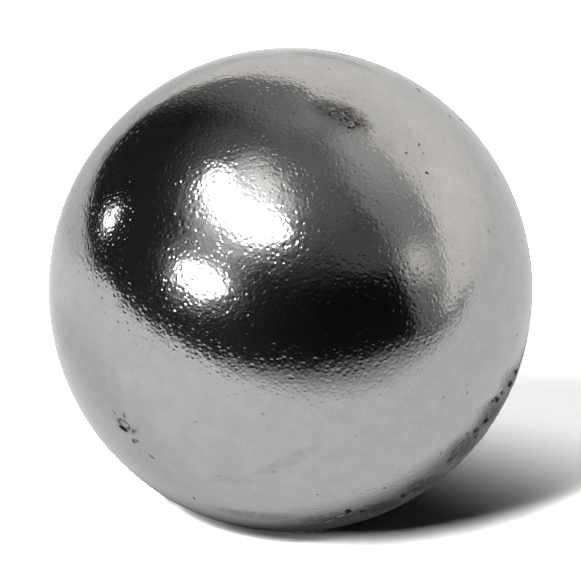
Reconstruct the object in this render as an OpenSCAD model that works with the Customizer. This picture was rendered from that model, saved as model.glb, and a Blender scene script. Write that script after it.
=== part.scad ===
// Sphere magnet: one sintered ball, ground round and plated with nickel.
// The plating is worn: one dent with a gouge along its lower edge, a patch of
// small pits near the top, and chips along the side where it has knocked
// against other magnets. Millimetres, +Z up, origin at the ball's centre.
// Longitude runs from +X towards +Y, and latitude from the equator to +Z.

/* [Ball] */
// Diameter of the ball over its plating
ball_d = 12.7; // [3:0.1:50]

/* [Dent] */
// Longitude of the dent
dent_long = -132; // [-180:1:180]
// Latitude of the dent
dent_lat = -8; // [-90:1:90]
// Width of the dent's round mouth
dent_w = 0.36; // [0.1:0.02:0.8]
// Depth of the dent below its rim
dent_depth = 0.035; // [0.01:0.005:0.1]

/* [Gouge] */
// Length of the gouge along the dent's lower edge
gouge_l = 0.34; // [0.1:0.02:0.8]
// Width of the gouge
gouge_w = 0.1; // [0.04:0.01:0.3]
// Depth of the gouge below its rim
gouge_depth = 0.035; // [0.01:0.005:0.08]

/* [Scratches] */
// Number of scratches that trail off from the gouge
scratch_count = 3; // [0:1:6]
// Length of each scratch
scratch_l = 0.16; // [0.05:0.01:0.4]
// Width of each scratch
scratch_w = 0.07; // [0.03:0.01:0.2]
// Depth of each scratch below its rim
scratch_depth = 0.012; // [0.005:0.001:0.04]

/* [Pitted patch] */
// Longitude of the middle of the patch
patch_long = -42; // [-180:1:180]
// Latitude of the middle of the patch
patch_lat = 72; // [-90:1:90]
// Length of the patch
patch_l = 1.3; // [0.4:0.1:3]
// Width of the patch
patch_w = 0.7; // [0.3:0.1:2]
// Number of pits in the patch
pit_count = 11; // [0:1:24]
// Width of the largest pit
pit_w = 0.15; // [0.06:0.01:0.3]
// Depth of each pit below its rim
pit_depth = 0.02; // [0.005:0.005:0.05]
// Seed that scatters the pits
pit_seed = 7; // [1:1:50]

/* [Chips] */
// Length of a chip of size 1
chip_l = 0.3; // [0.1:0.02:0.8]
// Width of a chip of size 1
chip_w = 0.13; // [0.05:0.01:0.4]
// Depth of a chip of size 1 below its rim
chip_depth = 0.024; // [0.005:0.001:0.06]

/* [Hidden] */

$fn = 96;
ball_r = ball_d / 2;

// The gouge's middle lies on the dent's rim, and its length is turned this far
// from south.
gouge_turn = 86;

// Each scratch lies this much farther south than the last, and is turned this
// far from south.
scratch_step = 0.1;
scratch_turn = 35;

// The patch's length is turned this far from south.
patch_turn = 22;

// The floor of a long hollow is this share of its width, between two bevels.
floor_share = 0.35;

// Where the chips are: [longitude, latitude, turn from south, size].
chips = [
    // Right-hand side, where the ball has knocked against its neighbours
    [-22, -8, 40, 1.0],
    [-25, -11, 95, 1.2],
    [-29, -8, 80, 0.7],
    [-31, -12, 125, 0.9],
    [-34, -8, 75, 0.6],
    [-34, -16, 115, 0.7],
    [-39, -15, 165, 0.6],
    [-43, -14, 90, 0.4],
    // Lower front
    [-55, -30, 150, 0.5],
    [-59, -30, 130, 0.6],
    [-66, -22, 20, 0.7],
    [-69, -29, 50, 0.6],
    [-70, -33, 35, 0.9],
    [-75, -31, 25, 1.2],
    [-80, -35, 145, 1.1],
    [-83, -20, 40, 0.4],
    [-116, -28, 5, 0.6],
    // Upper right, small and well apart
    [-31, 58, 85, 0.4],
    [-22, 57, 90, 0.6],
    [-25, 54, 105, 0.4],
    [-31, 51, 35, 0.5],
    [61, 64, 90, 0.7],
    [44, 58, 130, 0.5],
    [38, 55, 130, 0.4],
    [24, 55, 100, 0.7],
    [27, 47, 145, 0.5],
    [13, 48, 115, 0.6],
    [18, 42, 30, 0.8],
    [21, 37, 10, 0.6],
];

// Radius of the arc that spans a chord and sags this deep below it.
function arc_r(chord, sag) = ((chord / 2) ^ 2 + sag ^ 2) / (2 * sag);

// Height above the ball's centre of the plane in which a mouth this long lies.
function mouth_height(mouth) = sqrt(ball_r ^ 2 - (mouth / 2) ^ 2);

// Height of a cutter from the floor of its hollow to clear of the surface.
function cutter_height(mouth, depth) = 2 * depth + ball_r - mouth_height(mouth);

// The angle at the ball's centre that an arc this long on its surface spans.
function degrees_of(arc) = arc / ball_r * 180 / PI;

// Carries its children from the top of the ball to a longitude and latitude.
// Their X then points south, before they turn about the outward direction.
module at_direction(longitude, latitude, turn = 0)
    rotate([0, 90 - latitude, longitude])
        rotate([0, 0, turn])
            children();

// Carries its children from the top of the ball over the surface, by these
// distances along X and along Y.
module along_surface(along_x, along_y)
    rotate([-degrees_of(along_y), degrees_of(along_x), 0])
        children();

// Cutter for a round dished hollow at the top of the ball.
module dish_cutter(mouth, depth) {
    dish_r = arc_r(mouth, depth);
    translate([0, 0, mouth_height(mouth) + dish_r - depth])
        rotate_extrude()
            intersection() {
                circle(r = dish_r);
                translate([0, -dish_r])
                    square([dish_r, cutter_height(mouth, depth)]);
            }
}

// Cutter for a long hollow at the top of the ball, longest along X. It is a
// piece of a wheel that stands on edge: its bevelled rim gives the hollow's
// width, and its radius gives the length. The piece reaches past the surface
// at its ends and above.
module groove_cutter(length, width, depth) {
    wheel_r = arc_r(length, depth);
    hub_r = wheel_r - cutter_height(length, depth);
    floor_w = floor_share * width;
    hub_w = floor_w + (width - floor_w) * (wheel_r - hub_r) / depth;
    half_turn = min(180, 1.4 * acos(1 - depth / wheel_r));
    translate([0, 0, mouth_height(length) + wheel_r - depth])
        rotate([90, 0, 0])
            rotate([0, 0, -90 - half_turn])
                rotate_extrude(angle = 2 * half_turn)
                    polygon([
                        [hub_r, -hub_w / 2],
                        [wheel_r, -floor_w / 2],
                        [wheel_r, floor_w / 2],
                        [hub_r, hub_w / 2],
                    ]);
}

// A shallow dent with a sharp gouge on its south side, and scratches that
// trail off to the south-east of the gouge's end.
module dent_and_gouge()
    at_direction(dent_long, dent_lat) {
        dish_cutter(dent_w, dent_depth);
        along_surface(dent_w / 2, 0)
            rotate([0, 0, gouge_turn])
                groove_cutter(gouge_l, gouge_w, gouge_depth);
        for (i = [1 : 1 : scratch_count])
            along_surface(dent_w / 2 + i * scratch_step, (gouge_l + i * scratch_l) / 2)
                rotate([0, 0, scratch_turn])
                    groove_cutter(scratch_l, scratch_w, scratch_depth);
    }

// Small round pits, scattered over an oval and smaller towards its edge.
module pitted_patch() {
    bearing = rands(0, 360, pit_count, pit_seed);
    reach = rands(0, 1, pit_count, pit_seed + 1);
    at_direction(patch_long, patch_lat, patch_turn)
        for (i = [0 : 1 : pit_count - 1]) {
            out = sqrt(reach[i]);
            this_w = pit_w * (1 - 0.5 * out);
            along_surface(out * cos(bearing[i]) * patch_l / 2, out * sin(bearing[i]) * patch_w / 2)
                dish_cutter(this_w, pit_depth);
        }
}

// Long chips where flakes of the plating have broken away.
module plating_chips()
    for (chip = chips)
        at_direction(chip[0], chip[1], chip[2])
            groove_cutter(chip[3] * chip_l, chip[3] * chip_w, chip[3] * chip_depth);

module magnet_ball()
    color([0.53, 0.52, 0.51])
        difference() {
            sphere(d = ball_d);
            dent_and_gouge();
            pitted_patch();
            plating_chips();
        }

magnet_ball();
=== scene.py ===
import math

import bmesh
import bpy
import numpy as np
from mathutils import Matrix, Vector


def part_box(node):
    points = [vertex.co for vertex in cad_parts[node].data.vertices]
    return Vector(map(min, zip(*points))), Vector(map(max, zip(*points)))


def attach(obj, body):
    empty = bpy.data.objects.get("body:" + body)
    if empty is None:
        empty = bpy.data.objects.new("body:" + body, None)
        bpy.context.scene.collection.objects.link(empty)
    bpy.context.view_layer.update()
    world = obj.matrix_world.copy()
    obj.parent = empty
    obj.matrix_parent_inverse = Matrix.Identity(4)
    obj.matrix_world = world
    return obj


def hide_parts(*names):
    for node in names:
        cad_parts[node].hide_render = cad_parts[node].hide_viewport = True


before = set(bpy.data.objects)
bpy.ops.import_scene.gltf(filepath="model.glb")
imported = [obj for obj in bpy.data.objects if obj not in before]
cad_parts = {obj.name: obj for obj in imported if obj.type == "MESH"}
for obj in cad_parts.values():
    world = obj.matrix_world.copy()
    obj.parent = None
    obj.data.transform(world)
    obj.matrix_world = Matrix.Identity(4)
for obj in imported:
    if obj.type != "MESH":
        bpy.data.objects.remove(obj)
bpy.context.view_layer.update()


# ---------------------------------------------------------------------------
# The ball. One sintered neodymium-iron-boron ball, pressed as a blank, ground
# round in a ball mill and then plated with nickel in a tumbling barrel, which
# leaves a fine orange-peel grain. Nothing is fitted to it.
# ---------------------------------------------------------------------------
ball_low, ball_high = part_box("magnet_ball")
ball_radius = (ball_high - ball_low).z / 2
mm = 0.001

# Cells along one edge of each of the six grids that make up the sphere.
grid_cells = 88


def sphere_grids(cells):
    """Points on the unit sphere from six square grids, folded like a cube.

    A grid's point at u, v, both from -1 to 1, lies in the direction
    normal + tan(45 deg * u) * across + tan(45 deg * v) * up, so equal steps
    in u and v are nearly equal steps over the sphere. Points on shared edges
    are merged, which closes the shell. Each grid has its own square of the
    map, three squares wide and two high.
    """
    steps = np.linspace(-1, 1, cells + 1)
    u, v = np.meshgrid(steps, steps, indexing="xy")
    frames = [
        ((1, 0, 0), (0, 1, 0), (0, 0, 1)),
        ((-1, 0, 0), (0, -1, 0), (0, 0, 1)),
        ((0, 1, 0), (-1, 0, 0), (0, 0, 1)),
        ((0, -1, 0), (1, 0, 0), (0, 0, 1)),
        ((0, 0, 1), (0, 1, 0), (-1, 0, 0)),
        ((0, 0, -1), (0, 1, 0), (1, 0, 0)),
    ]
    corner = np.arange(cells * (cells + 1)).reshape(cells, cells + 1)[:, :-1].ravel()
    quad = np.stack([corner, corner + 1, corner + cells + 2, corner + cells + 1], 1)
    margin = 0.01
    points, quads, maps = [], [], []
    for number, (normal, across, up) in enumerate(frames):
        bent_u, bent_v = np.tan(u * math.pi / 4), np.tan(v * math.pi / 4)
        grid = (
            np.array(normal)
            + bent_u[..., None] * np.array(across)
            + bent_v[..., None] * np.array(up)
        ).reshape(-1, 3)
        points.append(grid / np.linalg.norm(grid, axis=1, keepdims=True))
        quads.append(quad + number * (cells + 1) ** 2)
        column, row = number % 3, number // 3
        in_square = margin + (1 - 2 * margin) * (np.stack([u, v], -1).reshape(-1, 2) + 1) / 2
        maps.append((in_square + (column, row)) / (3, 2))
    points, quads, maps = np.concatenate(points), np.concatenate(quads), np.concatenate(maps)
    _, first, merged = np.unique(
        np.round(points * 1e6).astype(np.int64), axis=0, return_index=True, return_inverse=True
    )
    return points[first], merged.reshape(-1)[quads], maps[quads]


def outward(longitude, latitude):
    """The unit vector at a longitude, from +X towards +Y, and a latitude."""
    around, above = math.radians(longitude), math.radians(latitude)
    return np.array(
        [math.cos(above) * math.cos(around), math.cos(above) * math.sin(around), math.sin(above)]
    )


# Each hollow is longitude, latitude, turn from south, length, width and depth.
# The dent, the gouge on its south side and the scratches that trail off it:
dent_marks = [
    (-132.0, -8.0, 90, 0.44, 0.30, 0.035),
    (-132.6, -9.8, 88, 0.36, 0.16, 0.040),
    (-129.1, -8.6, 38, 0.17, 0.07, 0.014),
    (-129.9, -12.0, 30, 0.14, 0.07, 0.014),
    (-128.4, -11.5, 36, 0.14, 0.07, 0.012),
    (-131.4, -5.4, 8, 0.13, 0.05, 0.012),
    (-134.7, -6.0, 52, 0.13, 0.05, 0.008),
    (-124.6, -15.0, 58, 0.20, 0.06, 0.008),
]

# Chips where flakes of the plating have broken away on the side that has
# knocked against other magnets, then on the lower front, then the few small
# ones of the upper right:
chip_marks = [
    (-22.3, -8.5, 39, 0.36, 0.10, 0.020),
    (-24.5, -10.6, 95, 0.36, 0.13, 0.026),
    (-29.6, -9.6, 82, 0.20, 0.09, 0.020),
    (-30.5, -11.4, 127, 0.24, 0.14, 0.026),
    (-34.1, -9.2, 76, 0.18, 0.08, 0.018),
    (-34.1, -16.2, 117, 0.20, 0.10, 0.022),
    (-39.3, -14.6, 164, 0.20, 0.08, 0.018),
    (-43.3, -14.0, 90, 0.12, 0.06, 0.014),
    (-54.5, -29.5, 150, 0.16, 0.08, 0.018),
    (-58.3, -30.1, 130, 0.18, 0.09, 0.018),
    (-66.1, -22.1, 20, 0.30, 0.05, 0.010),
    (-69.5, -29.8, 50, 0.18, 0.07, 0.014),
    (-69.8, -33.1, 36, 0.28, 0.10, 0.020),
    (-74.4, -30.8, 24, 0.40, 0.12, 0.026),
    (-76.2, -32.6, 127, 0.26, 0.08, 0.022),
    (-78.8, -35.1, 145, 0.38, 0.09, 0.022),
    (-83.4, -19.7, 40, 0.10, 0.06, 0.012),
    (-116.1, -28.1, 4, 0.18, 0.08, 0.014),
    (-31.5, 57.9, 87, 0.12, 0.06, 0.014),
    (-21.9, 57.0, 90, 0.20, 0.06, 0.014),
    (-24.4, 55.1, 106, 0.15, 0.04, 0.012),
    (-31.1, 51.5, 33, 0.14, 0.08, 0.016),
    (60.6, 63.9, 90, 0.22, 0.08, 0.016),
    (44.3, 58.4, 130, 0.16, 0.07, 0.014),
    (38.7, 55.8, 130, 0.12, 0.06, 0.012),
    (24.3, 55.3, 100, 0.22, 0.09, 0.016),
    (27.2, 47.3, 146, 0.14, 0.08, 0.014),
    (12.9, 48.6, 115, 0.20, 0.08, 0.014),
    (18.5, 42.9, 32, 0.26, 0.07, 0.016),
    (21.0, 38.0, 10, 0.20, 0.07, 0.014),
]


# The patch of small pits near the top, and how deep a pit is for its width.
patch_middle, patch_turn = (-43.0, 72.6), 22
patch_length, patch_width = 1.0, 0.5
pit_count, pit_sizes, pit_seed = 24, (0.05, 0.11), 5
pit_depth_share = 0.08


def scattered_pits(count, seed, middle, turn, length, width, sizes):
    """Small round pits over an oval patch, as rows like those of the chips.

    A pit's bearing is even round the oval and its reach is the square root
    of an even draw, which spreads the pits evenly over the oval's area.
    """
    draw = np.random.default_rng(seed)
    bearing = draw.uniform(0, 2 * math.pi, count) + math.radians(turn)
    reach = np.sqrt(draw.uniform(0, 1, count))
    along = reach * np.cos(bearing - math.radians(turn)) * length / 2
    aside = reach * np.sin(bearing - math.radians(turn)) * width / 2
    tilt = math.radians(turn)
    south = along * math.cos(tilt) - aside * math.sin(tilt)
    east = along * math.sin(tilt) + aside * math.cos(tilt)
    to_degrees = 180 / math.pi * mm / ball_radius
    latitude = middle[1] - south * to_degrees
    longitude = middle[0] + east * to_degrees / np.cos(np.radians(latitude))
    size = draw.uniform(*sizes, count)
    depth = pit_depth_share * size
    return [
        (longitude[i], latitude[i], 0, size[i], size[i], depth[i]) for i in range(count)
    ]


patch_pits = scattered_pits(
    pit_count, pit_seed, patch_middle, patch_turn, patch_length, patch_width, pit_sizes
)

marks = np.array(dent_marks + chip_marks + patch_pits)
mark_normals = np.array([outward(row[0], row[1]) for row in marks])

# Stains in the plating, without depth: longitude, latitude, turn from south,
# length, width and strength. The smudge of the pitted patch, a darker band
# along the knocked side, tarnish round its chips, and a faint streak in front.
stains = np.array(
    [
        # Round the pitted patch.
        (-41.0, 74.2, 22, 2.0, 1.0, 0.56),
        (-37.5, 63.0, 30, 1.0, 0.6, 0.12),
        # Along the knocked side.
        (-27.0, -7.0, 60, 1.5, 0.7, 0.34),
        (-34.0, -13.0, 50, 1.9, 1.0, 0.42),
        (-42.0, -20.0, 50, 2.1, 1.0, 0.42),
        (-52.0, -29.0, 60, 2.0, 1.0, 0.44),
        (-64.0, -33.0, 75, 1.8, 0.9, 0.42),
        (-78.0, -33.0, 90, 2.2, 0.8, 0.32),
        (-100.0, -31.0, 90, 2.6, 0.6, 0.26),
        # Round its chips.
        (-21.6, -8.9, 50, 0.60, 0.17, 1.0),
        (-25.0, -10.2, 50, 0.80, 0.22, 1.0),
        (-29.9, -9.6, 48, 0.50, 0.15, 1.0),
        (-32.8, -9.6, 48, 0.60, 0.19, 1.0),
        (-34.8, -8.7, 48, 0.34, 0.15, 0.95),
        (-35.0, -15.2, 45, 0.60, 0.17, 1.0),
        (-39.0, -15.8, 45, 0.50, 0.24, 0.80),
        (-42.6, -14.6, 45, 0.34, 0.16, 0.60),
        (-37.8, -18.6, 45, 0.55, 0.20, 0.80),
        (-46.0, -22.0, 40, 0.50, 0.20, 0.70),
        (-54.5, -29.5, 30, 0.50, 0.18, 0.90),
        (-58.3, -30.1, 30, 0.46, 0.18, 0.90),
        (-69.8, -33.1, 20, 0.50, 0.22, 0.85),
        (-74.4, -30.8, 14, 0.50, 0.24, 0.90),
        # Round the dent, and along the scratches from it.
        (-132.2, -8.2, 90, 0.80, 0.60, 0.20),
        (-128.9, -8.6, 140, 0.40, 0.15, 0.60),
        (-129.4, -12.0, 140, 0.34, 0.17, 0.60),
        (-125.0, -14.9, 58, 0.26, 0.14, 0.45),
        (-131.4, -5.2, 8, 0.24, 0.10, 0.60),
        (-134.7, -6.0, 52, 0.26, 0.12, 0.35),
        # A faint streak in front.
        (-103.8, -15.0, 102, 1.5, 0.42, 0.12),
        (-91.5, -7.7, 123, 2.4, 0.42, 0.15),
    ]
)
stain_normals = np.array([outward(row[0], row[1]) for row in stains])


def mark_reach(directions, rows, normals):
    """How far each direction lies into each mark: 1 in its middle, 0 at its rim.

    In the plane that touches the ball at the mark, with x along it and y
    across it, this is 1 - (2x / length)^2 - (2y / width)^2, never under -3.
    """
    east = np.cross([0, 0, 1], normals)
    east /= np.linalg.norm(east, axis=1, keepdims=True)
    south = np.cross(east, normals)
    turn = np.radians(rows[:, 2])[:, None]
    along = np.cos(turn) * south + np.sin(turn) * east
    across = np.cos(turn) * east - np.sin(turn) * south
    half_length, half_width = rows[:, 3] / 2 * mm, rows[:, 4] / 2 * mm
    x = directions @ along.T * ball_radius / half_length
    y = directions @ across.T * ball_radius / half_width
    facing = directions @ normals.T > 0
    return np.where(facing, np.maximum(1 - x**2 - y**2, -3), -3)


def refine(shell, normals, reach, rounds):
    """Halves the edges that lie within reach of a mark, in each round."""
    for _ in range(rounds):
        shell.verts.ensure_lookup_table()
        places = np.array([v.co for v in shell.verts])
        places /= np.linalg.norm(places, axis=1, keepdims=True)
        near = (places @ normals.T > np.cos(reach / ball_radius)).any(1)
        edges = [e for e in shell.edges if near[e.verts[0].index] and near[e.verts[1].index]]
        bmesh.ops.subdivide_edges(shell, edges=edges, cuts=1, use_grid_fill=True)
        shell.verts.index_update()


# The mesh is finer this near to a mark's middle: a share of its length, and a
# margin in millimetres.
fine_share, fine_margin = 0.75, 0.08

# A hollow this deep, in millimetres, has worn through to the bare core.
bare_depth = 0.014

# The ring of wear in the dent's bowl: how worn it is, how far in from the rim
# it lies and how wide it is, as shares of the way to the middle.
ring_wear, ring_place, ring_width = 0.75, 0.25, 0.32

# How fast the wear grows in from the rim of a patch pit, and where it stops.
pit_wear, pit_wear_limit = 2.5, 0.95

# How fast a stain grows in from its rim to its full strength.
stain_growth = 1.6


def ball_mesh():
    """The ball's surface: radius less the deepest hollow at each direction.

    "bare" is 1 where the plating is gone, and grows with a hollow's depth.
    "stained" is the strength of the strongest stain, and fades at its rim.
    """
    directions, quads, maps = sphere_grids(grid_cells)
    mesh = bpy.data.meshes.new("magnet_ball_surface")
    mesh.from_pydata(directions, [], quads)
    layer = mesh.uv_layers.new(name="OFBake")
    layer.uv.foreach_set("vector", maps.astype(np.float32).ravel())
    shell = bmesh.new()
    shell.from_mesh(mesh)
    refine(shell, mark_normals, (fine_share * marks[:, 3] + fine_margin) * mm, rounds=2)
    shell.to_mesh(mesh)
    shell.free()

    places = np.empty(len(mesh.vertices) * 3)
    mesh.vertices.foreach_get("co", places)
    directions = places.reshape(-1, 3)
    directions /= np.linalg.norm(directions, axis=1, keepdims=True)
    reach = mark_reach(directions, marks, mark_normals)
    depth = (np.clip(reach, 0, 1) * marks[:, 5] * mm).max(1)
    surface = directions * (ball_radius - depth)[:, None]
    mesh.vertices.foreach_set("co", surface.ravel())

    worn = np.clip(reach * marks[:, 5] / bare_depth, 0, 1)
    # The dent's bowl keeps its plating, and only a ring near its rim is worn.
    worn[:, 0] = ring_wear * np.exp(-(((reach[:, 0] - ring_place) / ring_width) ** 2))
    first_pit = len(dent_marks) + len(chip_marks)
    worn[:, first_pit:] = np.clip(pit_wear * reach[:, first_pit:], 0, pit_wear_limit)
    bare = worn.max(1)
    attribute = mesh.attributes.new("bare", "FLOAT", "POINT")
    attribute.data.foreach_set("value", bare.astype(np.float32))
    reach = mark_reach(directions, stains, stain_normals)
    stained = (np.clip(reach * stain_growth, 0, 1) * stains[:, 5]).max(1)
    attribute = mesh.attributes.new("stained", "FLOAT", "POINT")
    attribute.data.foreach_set("value", stained.astype(np.float32))
    mesh.shade_smooth()
    mesh.update()
    return mesh


def node_adder(tree):
    """Empties a node tree, and returns the function that adds a node to it.

    Each input that is given is linked if it is a socket, and set if it isn't.
    """
    tree.nodes.clear()

    def add(kind, inputs=None, **settings):
        node = tree.nodes.new("ShaderNode" + kind)
        for setting, value in settings.items():
            setattr(node, setting, value)
        for socket, value in (inputs or {}).items():
            if isinstance(value, bpy.types.NodeSocket):
                tree.links.new(value, node.inputs[socket])
            else:
                node.inputs[socket].default_value = value
        return node

    return add


def new_material(name):
    """A material with an empty node tree, and the function that adds a node to it."""
    material = bpy.data.materials.new(name)
    material.use_nodes = True
    return material, node_adder(material.node_tree)


def maths(add, operation, *values):
    """What a Math node gives for these values or sockets."""
    return add("Math", dict(enumerate(values)), operation=operation).outputs[0]


def vector_maths(add, operation, *values):
    """The Vector Math node that puts these values or sockets together."""
    return add("VectorMath", dict(enumerate(values)), operation=operation)


def ramp(add, value, start, end, low=0.0, high=1.0, kind="LINEAR"):
    """low where value is at start, high where it is at end, and held beyond them."""
    ends = {"Value": value, "From Min": start, "From Max": end, "To Min": low, "To Max": high}
    return add("MapRange", ends, interpolation_type=kind).outputs[0]


# Colours of the plating where it is dullest and brightest, of its tarnish, of
# the bare core, and of what the tarnish and the core mirror at a low angle.
dull_nickel, bright_nickel = (0.486, 0.481, 0.470, 1), (0.570, 0.565, 0.552, 1)
tarnish, bare_core = (0.070, 0.062, 0.054, 1), (0.03, 0.028, 0.026, 1)
clear_edge, dark_edge = (1, 1, 1, 1), (0.1, 0.09, 0.08, 1)

# Heights of the grain's dimples and of the slow waves, in millimetres.
dimple_height, wave_height = 0.0022, 0.01

# The plating's pits: their radii as shares of the ball's, the slopes at their
# rims, and the direction from the ball's middle in which they are deepest.
pit_radii, pit_slopes = (0.0062, 0.0108), (-0.058, -0.15)
deepest_towards = (-0.31, -0.64, 0.70)
pinhole_share, pinhole_darkness = 0.007, 0.28


def plating_grain(add, unit):
    """The plating's normal: its grain, with its waves below it.

    The grain is round dimples side by side, each a shallow bowl, whose height
    grows with the square of the distance from the dimple's middle.
    """
    dimples = add(
        "TexVoronoi",
        {"Vector": unit, "Scale": 62, "Smoothness": 0.35, "Randomness": 1.0},
        feature="SMOOTH_F1",
    )
    bowl = maths(add, "POWER", dimples.outputs["Distance"], 2.0)
    # Slow waves from grinding.
    waves = add("TexNoise", {"Vector": unit, "Scale": 9, "Detail": 2.0, "Roughness": 0.5})
    rolling = add(
        "Bump", {"Strength": 1.0, "Distance": wave_height * mm, "Height": waves.outputs["Fac"]}
    )
    grain = add(
        "Bump",
        {
            "Strength": 1.0,
            "Distance": dimple_height * mm,
            "Height": bowl,
            "Normal": rolling.outputs["Normal"],
        },
    )
    return grain.outputs[0]


def plating_pits(add, unit, grain):
    """Round pits about a tenth of a millimetre wide: the normal, and where they are.

    Each pit is a bowl round its cell's point, so it tilts the normal by
    steepest * offset / radius. The third value is an even draw for each cell.
    """
    cells = add("TexVoronoi", {"Vector": unit, "Scale": 48, "Randomness": 1.0}, feature="F1")
    offset = vector_maths(add, "SUBTRACT", unit, cells.outputs["Position"]).outputs[0]
    away = vector_maths(add, "LENGTH", offset).outputs["Value"]
    chance = add("SeparateColor", {0: cells.outputs["Color"]}).outputs
    pit_radius = ramp(add, chance[0], 0, 1, *pit_radii)
    # Most pits are shallow, so the draw is raised to a power.
    steepest = ramp(add, maths(add, "POWER", chance[1], 2.2), 0, 1, *pit_slopes)
    nearness = vector_maths(add, "DOT_PRODUCT", unit, deepest_towards).outputs["Value"]
    deepening = ramp(add, nearness, 0.66, 0.86, 0.9, 1.1, "SMOOTHSTEP")
    steepest = maths(add, "MULTIPLY", steepest, deepening)
    inside = maths(add, "LESS_THAN", away, pit_radius)
    slope = maths(add, "MULTIPLY", maths(add, "DIVIDE", steepest, pit_radius), inside)
    tilt = add("VectorMath", {0: offset, "Scale": slope}, operation="SCALE").outputs[0]
    tilt = add(
        "VectorTransform",
        {0: tilt},
        vector_type="VECTOR",
        convert_from="OBJECT",
        convert_to="WORLD",
    )
    tilted = vector_maths(add, "ADD", grain, tilt.outputs[0]).outputs[0]
    facing = vector_maths(add, "NORMALIZE", tilted).outputs[0]
    return facing, inside, chance[2]


def blend(add, share, first, second):
    """The colour first where share is 0, second where it is 1, and mixed between."""
    colours = {"Factor": share, 6: first, 7: second}
    return add("Mix", colours, data_type="RGBA").outputs[2]


def cloudy_nickel(add, unit):
    """The plating's colour, a little cloudy and a little gritty."""
    clouds = add("TexNoise", {"Vector": unit, "Scale": 13, "Detail": 4.0, "Roughness": 0.6})
    grit = add("TexNoise", {"Vector": unit, "Scale": 150, "Detail": 2.0, "Roughness": 0.6})
    both = maths(add, "MULTIPLY_ADD", grit.outputs["Fac"], 0.8, clouds.outputs["Fac"])
    cloudiness = ramp(add, both, 0.58, 1.22)
    return blend(add, cloudiness, dull_nickel, bright_nickel)


def blotched_stain(add, unit):
    """How stained the plating is: the mesh's stains, broken into blotches."""
    blotches = add("TexNoise", {"Vector": unit, "Scale": 40, "Detail": 4.0, "Roughness": 0.7})
    blotched = ramp(add, blotches.outputs["Fac"], 0.36, 0.58, 0.2, 1.0)
    stained = add("Attribute", attribute_name="stained").outputs["Fac"]
    return maths(add, "MULTIPLY", stained, blotched)


def nickel_plating():
    """Bright nickel with an orange-peel grain, bare and dark in its hollows."""
    material, add = new_material("nickel_plating")
    place = add("TexCoord").outputs["Object"]
    # One unit of the pattern's space is the ball's radius.
    unit = add("Mapping", {"Vector": place, "Scale": (1 / ball_radius,) * 3}).outputs[0]
    facing, in_pit, chance = plating_pits(add, unit, plating_grain(add, unit))

    # A few pits are pinholes, and dark.
    pinhole = maths(add, "GREATER_THAN", chance, 1 - pinhole_share)
    pinhole = maths(add, "MULTIPLY", pinhole, in_pit)
    pinhole = maths(add, "MULTIPLY", pinhole, pinhole_darkness)
    dark = maths(add, "MAXIMUM", blotched_stain(add, unit), pinhole)
    bare = add("Attribute", attribute_name="bare").outputs["Fac"]
    tarnished = blend(add, dark, cloudy_nickel(add, unit), tarnish)
    darkest = maths(add, "MAXIMUM", dark, bare)
    skin = add(
        "BsdfPrincipled",
        {
            "Base Color": blend(add, bare, tarnished, bare_core),
            "Roughness": ramp(add, bare, 0, 1, 0.12, 0.55),
            "Metallic": 1.0,
            "Specular Tint": blend(add, darkest, clear_edge, dark_edge),
            "Normal": facing,
        },
    )
    add("OutputMaterial", {"Surface": skin.outputs[0]})
    return material


ball = bpy.data.objects.new("plated_ball", ball_mesh())
ball.data.materials.append(nickel_plating())
bpy.context.scene.collection.objects.link(ball)
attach(ball, "root")
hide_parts("magnet_ball")


# ---------------------------------------------------------------------------
# The paper. A white sheet that the ball lies on, far wider than the view. To
# the camera it is white, with the ball's shadow from its lamps and a painted
# shadow at the ball's foot. The ball mirrors it as an off-white glow with
# painted light and painted shadow, darker under the ball and towards the front.
# ---------------------------------------------------------------------------
paper_half_width = 3.0
paper_height = -ball_radius
# Distances on the paper are counted in radii of the ball.
radii = ball_radius

# The azimuth, elevation and softness of each light whose shadow of the ball
# is painted on the paper, with no lamp there: the lamp overhead and the pale
# sweep in what the ball mirrors, and the light at the ball's foot in what is
# seen directly.
overhead_painted_shadow = (-62, 64.5, 0.2)
sweep_painted_shadow = (88, 30, 0.5)
foot_painted_shadow = (12, 41, 0.07)

# How much of the mirrored paper's painted light stands for the lamp overhead,
# for the pale sweep and for the room.
lamp_share, sweep_share, room_share = 0.53, 0.12, 0.17

# How white the paper is to the camera, in the painted shadow at the ball's
# foot and away from it.
foot_shadow_white, open_white = 0.25, 7.6


def towards(azimuth, elevation):
    """The unit vector at an azimuth, from -Y towards +X, and an elevation."""
    around, above = np.radians(azimuth), np.radians(elevation)
    return np.stack(
        [np.sin(around) * np.cos(above), -np.cos(around) * np.cos(above), np.sin(above)], -1
    )


def outside_painted_shadow(add, place, azimuth, elevation, softness):
    """A painted shadow of the ball: 1 where the ball doesn't stand between the paper and a lamp, and 0
    where it does.

    The line from place to the lamp passes the ball's middle at a distance of
    |place x towards(azimuth, elevation)|. The edge of the shadow runs from
    1 - softness to 1 + softness of the ball's radius.
    """
    to_lamp = tuple(towards(azimuth, elevation))
    across = vector_maths(add, "CROSS_PRODUCT", place, to_lamp).outputs[0]
    miss = vector_maths(add, "LENGTH", across).outputs["Value"]
    return ramp(add, miss, (1 - softness) * radii, (1 + softness) * radii, kind="SMOOTHSTEP")


def wedge_distance(add, place, azimuth, spread):
    """How far out place lies in a wedge towards azimuth.

    The distance is measured along the azimuth, less spread times the distance
    to its side.
    """
    ahead, aside = towards(azimuth, 0), towards(azimuth + 90, 0)
    left = vector_maths(add, "DOT_PRODUCT", place, tuple(ahead - spread * aside))
    right = vector_maths(add, "DOT_PRODUCT", place, tuple(ahead + spread * aside))
    return maths(add, "MINIMUM", left.outputs["Value"], right.outputs["Value"])


def first_reflection(add):
    """1 for what a ray sees before it has met the paper, and 0 after."""
    return maths(add, "LESS_THAN", add("LightPath").outputs["Diffuse Depth"], 0.5)


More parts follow.
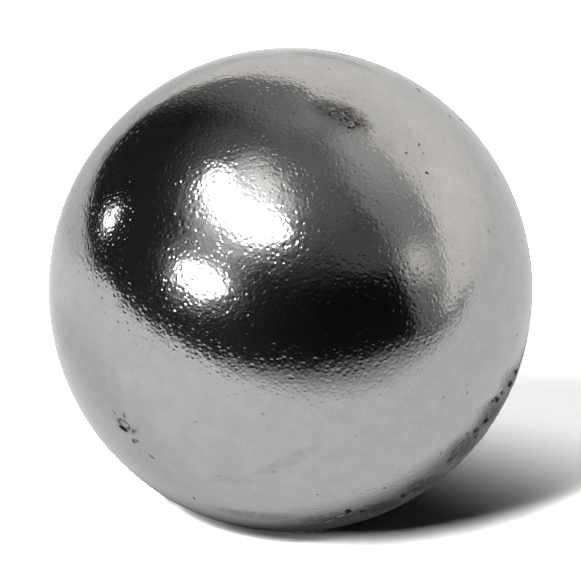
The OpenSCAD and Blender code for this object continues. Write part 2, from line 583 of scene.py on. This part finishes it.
def painted_mirrored_light(add, place, distance, rightward):
    """The painted light of the paper that the ball mirrors, before it grows dim far off.

    It is lamp_share * outside_painted_shadow, plus the light near the foot, which is
    sweep_share * outside_painted_shadow + room_share * (1 - (radius / distance)^3).
    The last bracket is the part of the room that the ball leaves open.
    """
    covered = maths(add, "POWER", maths(add, "DIVIDE", ball_radius, distance), 3.0)
    pale = maths(add, "MULTIPLY", maths(add, "SUBTRACT", 1.0, covered), room_share)
    pale = maths(add, "MULTIPLY_ADD", outside_painted_shadow(add, place, *sweep_painted_shadow), sweep_share, pale)
    away_from_foot = ramp(add, distance, 1.05 * radii, 1.45 * radii, 0.25, 1.0, "SMOOTHSTEP")
    pale = maths(add, "MULTIPLY", pale, away_from_foot)
    light = maths(add, "MULTIPLY_ADD", outside_painted_shadow(add, place, *overhead_painted_shadow), lamp_share, pale)
    # A painted pale strip lies close behind the ball's left, and a painted dim patch beyond it.
    behind = wedge_distance(add, place, 180, 0.0)
    behind = ramp(add, behind, -0.6 * radii, 0.4 * radii, 0.0, 0.26)
    from_left = ramp(add, rightward, -2.1 * radii, -1.2 * radii, kind="SMOOTHSTEP")
    to_right = ramp(add, rightward, -0.1 * radii, 0.6 * radii, 1.0, 0.0, "SMOOTHSTEP")
    strip = maths(add, "MULTIPLY", from_left, to_right)
    paler = maths(add, "MULTIPLY_ADD", behind, strip, 1.0)
    far_left = wedge_distance(add, place, -146, 0.9)
    far_left = ramp(add, far_left, 1.9 * radii, 3.8 * radii, 1.0, 0.76, "SMOOTHSTEP")
    light = maths(add, "MULTIPLY", light, maths(add, "MULTIPLY", paler, far_left))
    # The whole paper's painted light is a little paler towards the lamps, at the left.
    slant = ramp(add, rightward, -3 * radii, 3 * radii, 1.04, 0.9)
    return maths(add, "MULTIPLY", light, slant)


def painted_far_shade(add, place, distance):
    """Painted shade: 1 near the ball, and less where the mirrored paper grows dim or ends.

    Towards the front it is front_reach over how far ahead place lies. At the
    left it falls to nearly nothing past the paper's slanting edge.
    """
    front_reach = 4.1 * radii
    ahead = maths(add, "MAXIMUM", wedge_distance(add, place, 25, 0.28), front_reach)
    front_shade = maths(add, "DIVIDE", front_reach, ahead)
    past_edge = maths(add, "MULTIPLY", wedge_distance(add, place, -124, 1.8), 3.0)
    past_edge = maths(add, "MINIMUM", past_edge, distance)
    left_shade = ramp(add, past_edge, 10 * radii, 26 * radii, 1.0, 0.04, "SMOOTHSTEP")
    return maths(add, "MULTIPLY", front_shade, left_shade)


def painted_light_at_foot(add, place, distance, rightward):
    """The ball's painted shadow at its foot: 0 where the foot shades the paper that the camera sees, and
    1 away from it.

    To the left, it also paints shade into an oval close under the ball: the
    fourth power of how far place lies between the oval's inner and outer rims.
    """
    shaded = outside_painted_shadow(add, place, *foot_painted_shadow)
    shaded = ramp(add, distance, 1.13 * radii, 1.22 * radii, shaded, 1.0, "SMOOTHSTEP")
    half_oval = (1 / (0.58 * radii), 1 / (0.417 * radii), 0)
    across = vector_maths(add, "MULTIPLY", place, half_oval).outputs[0]
    oval = ramp(add, vector_maths(add, "LENGTH", across).outputs["Value"], 0.81, 1.06)
    right_of_it = ramp(add, rightward, -0.3 * radii, 0.25 * radii)
    oval = maths(add, "POWER", maths(add, "MAXIMUM", oval, right_of_it), 4.0)
    return maths(add, "MINIMUM", shaded, oval)


def paper():
    """White to the camera, with the ball's shadow from the lamps and a painted shadow at its foot, and
    to the ball an off-white glow with painted light and shadow.

    The camera's white is lifted, so that the paper stays white where only one
    of its lamps reaches it.
    """
    material, add = new_material("paper")
    place = add("TexCoord").outputs["Object"]
    distance = vector_maths(add, "LENGTH", place).outputs["Value"]
    rightward = add("SeparateXYZ", {0: place}).outputs["X"]

    light = painted_mirrored_light(add, place, distance, rightward)
    shade = maths(add, "MULTIPLY", painted_far_shade(add, place, distance), first_reflection(add))
    # What the ball mirrors is a glow, with the light and the ball's shadows painted into it.
    mirrored = add("Emission", {"Strength": maths(add, "MULTIPLY", light, shade)})

    # The colour that the camera sees is darker in the painted shadow at the ball's foot.
    at_foot = painted_light_at_foot(add, place, distance, rightward)
    sheet = add("BsdfDiffuse", {"Color": ramp(add, at_foot, 0, 1, foot_shadow_white, open_white)})
    glow = add("Emission", {"Strength": 1.0})
    far_off = ramp(add, distance, 5 * radii, 9 * radii)
    seen = add("MixShader", {0: far_off, 1: sheet.outputs[0], 2: glow.outputs[0]})

    to_camera = add("LightPath").outputs["Is Camera Ray"]
    both = add("MixShader", {0: to_camera, 1: mirrored.outputs[0], 2: seen.outputs[0]})
    add("OutputMaterial", {"Surface": both.outputs[0]})
    return material


sheet_mesh = bpy.data.meshes.new("paper_sheet")
edge = paper_half_width
sheet_mesh.from_pydata(
    [
        (-edge, -edge, paper_height),
        (edge, -edge, paper_height),
        (edge, edge, paper_height),
        (-edge, edge, paper_height),
    ],
    [],
    [(0, 1, 2, 3)],
)
sheet = bpy.data.objects.new("paper_sheet", sheet_mesh)
sheet.data.materials.append(paper())
bpy.context.scene.collection.objects.link(sheet)


# ---------------------------------------------------------------------------
# The room round the ball, which only its reflection shows: a glowing dome with
# the room's light and shade painted into its glow, dark towards the front and
# the left, with a pale sweep of paper behind and to the right.
# ---------------------------------------------------------------------------
room_radius = 1.5


def soft_step(value, start, end):
    """0 before start, 1 after end, and a smooth rise between them."""
    t = np.clip((value - start) / (end - start), 0, 1)
    return t * t * (3 - 2 * t)


def room_glow(azimuth, elevation):
    """How bright the room's painted glow is at each azimuth and elevation, in degrees."""
    # Measured from the left-hand end of the dark front, at azimuth -150.
    along_front = (azimuth + 150) % 360
    # The dark front, black at the right, and paler towards the ceiling.
    black = soft_step(along_front, 120, 170) * (1 - soft_step(elevation, 30, 55))
    level = 0.017 - 0.012 * black
    level = level + (0.13 - level) * soft_step(elevation, 32, 66)
    level = level + (0.17 - level) * soft_step(elevation, 64, 80)
    level = level + (0.24 - level) * soft_step(elevation, 80, 90)
    # A grey shelf over the black, from these heights up.
    shelf_foot = np.interp(azimuth, [0, 12, 30, 48, 60], [50, 45, 38, 32, 26])
    shelf = soft_step(elevation, shelf_foot - 2, shelf_foot + 5)
    shelf = shelf * soft_step(azimuth, 4, 38) * (1 - soft_step(azimuth, 62, 70))
    level = np.maximum(level, 0.095 * shelf)
    # The grey wall over the sweep, at these azimuths from 0 to 360.
    turned = azimuth % 360
    wall = np.interp(
        turned,
        [52, 64, 76, 88, 100, 112, 124, 136, 146, 154, 164, 172, 180, 194, 202, 210],
        [0.13, 0.17, 0.26, 0.31, 0.39, 0.46, 0.49, 0.48, 0.36, 0.26, 0.30, 0.29, 0.24, 0.20, 0.13, 0.05],
    )
    lean = np.interp(elevation, [26, 46, 58, 70], [0, 5, 13, 26])
    inside = soft_step(turned - lean, 57, 63) * (1 - soft_step(turned, 204, 212))
    inside = inside * (1 - soft_step(elevation, 58, 76))
    level = level + (wall - level) * inside
    # A small pale panel at the right-hand end of the wall.
    panel = np.exp(-(((turned - 73) / 8.5) ** 2) - ((elevation - 25) / 7) ** 2)
    level = level + 0.55 * panel * soft_step(turned, 57, 66)
    # The wall is paler beneath it.
    foot_of_wall = soft_step(turned, 70, 80) * (1 - soft_step(turned, 100, 120))
    level = level + 0.16 * foot_of_wall * (1 - soft_step(elevation, 16, 30))
    # The sweep of paper, palest a little above the table, ends at these heights.
    sweep_top = np.interp(
        turned,
        [60, 72, 82, 88, 94, 100, 106, 112, 118, 130, 138, 146, 154, 170, 178, 186, 194, 202, 210],
        [-6, -2, 9, 19, 26, 32, 37, 41, 45, 50, 48, 44, 41, 42, 34, 26, 15, 6, -4],
    )
    hump = 0.08 + 0.07 * np.exp(-(((turned - 120) / 24) ** 2))
    paper_level = 0.80 + hump * np.exp(-(((elevation - 19) / 13) ** 2))
    sweep = soft_step(sweep_top - elevation, -2, 2) * soft_step(turned, 56, 72)
    level = level + (paper_level - level) * sweep
    return level


def dome_mesh():
    """A hemisphere at room_radius times towards(azimuth, elevation), in steps of 1 degree."""
    azimuths, elevations = np.linspace(-180, 180, 361), np.linspace(-2, 90, 93)
    azimuth, elevation = np.meshgrid(azimuths, elevations)
    points = (towards(azimuth, elevation) * room_radius).reshape(-1, 3)
    rows, columns = azimuth.shape
    corner = np.arange((rows - 1) * columns).reshape(rows - 1, columns)[:, :-1].ravel()
    quads = np.stack([corner, corner + columns, corner + columns + 1, corner + 1], 1)
    mesh = bpy.data.meshes.new("room")
    mesh.from_pydata(points, [], quads)
    glow = room_glow(azimuth, elevation).ravel()
    # What is dark is also a little redder.
    red = 0.10 * np.exp(-glow / 0.06)
    colours = np.stack([glow, glow * (0.98 - red), glow * (0.97 - red), np.ones_like(glow)], 1)
    attribute = mesh.color_attributes.new("glow", "FLOAT_COLOR", "POINT")
    attribute.data.foreach_set("color", colours.astype(np.float32).ravel())
    return mesh


def only_in_reflections(thing):
    """Hides a stage object from the camera, and keeps it out of the shadows."""
    thing.visible_camera = False
    thing.visible_diffuse = False
    thing.visible_shadow = False


room = bpy.data.objects.new("room", dome_mesh())
material, add = new_material("room")
glow = add("Attribute", attribute_name="glow")
shine = add("Emission", {"Color": glow.outputs["Color"], "Strength": first_reflection(add)})
add("OutputMaterial", {"Surface": shine.outputs[0]})
room.data.materials.append(material)
bpy.context.scene.collection.objects.link(room)
only_in_reflections(room)


# ---------------------------------------------------------------------------
# The lamps. A long soft lamp overhead, a soft lamp at the left front and a
# small one at the left, each a round or oblong panel that faces the ball.
# ---------------------------------------------------------------------------
# Each panel's grid has this many spokes from its middle and rings round it.
spokes, rings = 64, 17


def lamp(
    name, azimuth, elevation, width, height, tilt, radiance, core=0.8, distance=1.0, square=2.0
):
    """A patch of the sphere at that distance, fading from its core to its rim.

    At reach r and bearing t round the patch, the azimuth is its middle plus
    r * width / 2 * cos(t)^(2 / square) / cos(elevation) and the elevation its
    middle plus r * height / 2 * sin(t)^(2 / square), turned by the tilt. Where
    square is 2, that is an oval, and above it a box with rounded corners.
    """
    bearings = np.linspace(0, 2 * math.pi, spokes + 1)[:-1]
    reach, bearing = np.meshgrid(np.linspace(0, 1, rings), bearings)
    flat_x = np.sign(np.cos(bearing)) * np.abs(np.cos(bearing)) ** (2 / square)
    flat_y = np.sign(np.sin(bearing)) * np.abs(np.sin(bearing)) ** (2 / square)
    flat_x, flat_y = flat_x * reach * width / 2, flat_y * reach * height / 2
    turn = math.radians(tilt)
    aside = flat_x * math.cos(turn) - flat_y * math.sin(turn)
    above = flat_x * math.sin(turn) + flat_y * math.cos(turn)
    spread = math.cos(math.radians(elevation))
    points = towards(azimuth + aside / spread, elevation + above) * distance
    corner = np.arange(spokes * rings).reshape(spokes, rings)
    after = np.roll(corner, -1, 0)
    quads = np.stack([corner[:, :-1], corner[:, 1:], after[:, 1:], after[:, :-1]], -1)
    mesh = bpy.data.meshes.new(name)
    mesh.from_pydata(points.reshape(-1, 3), [], quads.reshape(-1, 4))
    attribute = mesh.attributes.new("fade", "FLOAT", "POINT")
    attribute.data.foreach_set("value", (1 - soft_step(reach, core, 1.0)).ravel().astype(np.float32))
    panel = bpy.data.objects.new(name, mesh)
    material, add = new_material(name)
    fade = add("Attribute", attribute_name="fade").outputs["Fac"]
    shine = add("Emission", {"Strength": maths(add, "MULTIPLY", first_reflection(add), radiance)})
    clear = add("BsdfTransparent")
    patch = add("MixShader", {0: fade, 1: clear.outputs[0], 2: shine.outputs[0]})
    add("OutputMaterial", {"Surface": patch.outputs[0]})
    panel.data.materials.append(material)
    bpy.context.scene.collection.objects.link(panel)
    only_in_reflections(panel)


lamp("lamp_overhead", -54.5, 61.0, 56, 14.4, 4, 15, core=0.6, square=3.2)
lamp("lamp_front", -50, 28.6, 27, 12.0, 8, 14, core=0.6)
lamp("lamp_side", -113, 9.5, 7.0, 7.2, 0, 5)
# Painted light, as dim glowing panels: the pale ceiling over the lamp overhead,
# and the haze round the lamps, which the ball mirrors as a grey sheen round
# its highlights.
lamp("painted_lit_ceiling", -60, 75, 50, 34, 0, 1.3, core=0.15, distance=1.2)
lamp("painted_haze_overhead", -54, 57, 74, 40, 2, 0.8, core=0.2, distance=1.3)
lamp("painted_haze_front", -50, 35, 56, 50, 8, 0.36, core=0.2, distance=1.4)


def paper_light(name, azimuth, elevation, half_width, half_height, level):
    """An oval lamp half a metre away that lights the paper to this level.

    At 1, a white sheet shows as white. Its power is level * pi^2 * distance^2
    / sin(elevation). Reflections don't show it.
    """
    reach = 0.5
    light = bpy.data.lights.new(name, "AREA")
    light.shape = "ELLIPSE"
    light.size = 2 * reach * math.tan(math.radians(half_width))
    light.size_y = 2 * reach * math.tan(math.radians(half_height))
    light.energy = level * math.pi**2 * reach**2 / math.sin(math.radians(elevation))
    light_object = bpy.data.objects.new(name, light)
    middle = Vector(towards(azimuth, elevation)) * reach
    light_object.location = middle
    light_object.rotation_mode = "QUATERNION"
    light_object.rotation_quaternion = (-middle).to_track_quat("-Z", "Y")
    light_object.visible_glossy = False
    light_object.visible_camera = False
    bpy.context.scene.collection.objects.link(light_object)


paper_light("light_front", -45, 42, 2, 13.8, 0.416)
paper_light("light_left", -72, 41, 28.7, 7.5, 0.472)
paper_light("light_back", -134, 22, 16.3, 20.5, 0.124)


# ---------------------------------------------------------------------------
# The surroundings beyond the paper: white to the eye, to metal and to glass,
# and nearly dark as a light, so that the paper keeps the ball's shadow.
# ---------------------------------------------------------------------------
world = bpy.data.worlds.new("studio")
world.use_nodes = True
bpy.context.scene.world = world
add = node_adder(world.node_tree)
rays = add("LightPath").outputs
seen = maths(add, "MAXIMUM", rays["Is Camera Ray"], rays["Is Glossy Ray"])
seen = maths(add, "MAXIMUM", seen, rays["Is Transmission Ray"])
sky = add("Background", {"Color": (1, 1, 1, 1), "Strength": ramp(add, seen, 0, 1, 0.003, 1.0)})
add("OutputWorld", {"Surface": sky.outputs[0]})


# ---------------------------------------------------------------------------
# The camera, 35 degrees above the paper, with a long lens. It stands where the
# ball's outline has its width in the frame.
# ---------------------------------------------------------------------------
frame_width_px = 581
ball_width_px = 484.8
camera_elevation = 35

camera = bpy.data.cameras.new("camera")
camera.lens = 200
camera.sensor_width = 36
focal_px = frame_width_px * camera.lens / camera.sensor_width
half_angle = math.atan(ball_width_px / 2 / focal_px)
camera_object = bpy.data.objects.new("camera", camera)
back = Vector(towards(0, camera_elevation))
camera_object.location = back * (ball_radius / math.sin(half_angle))
camera_object.rotation_mode = "QUATERNION"
camera_object.rotation_quaternion = (-back).to_track_quat("-Z", "Y")
# The ball's middle lies one pixel above the frame's.
camera.shift_y = -1 / frame_width_px
camera.clip_start = 0.001
bpy.context.scene.collection.objects.link(camera_object)
bpy.context.scene.camera = camera_object
bpy.context.scene.view_settings.view_transform = "Standard"
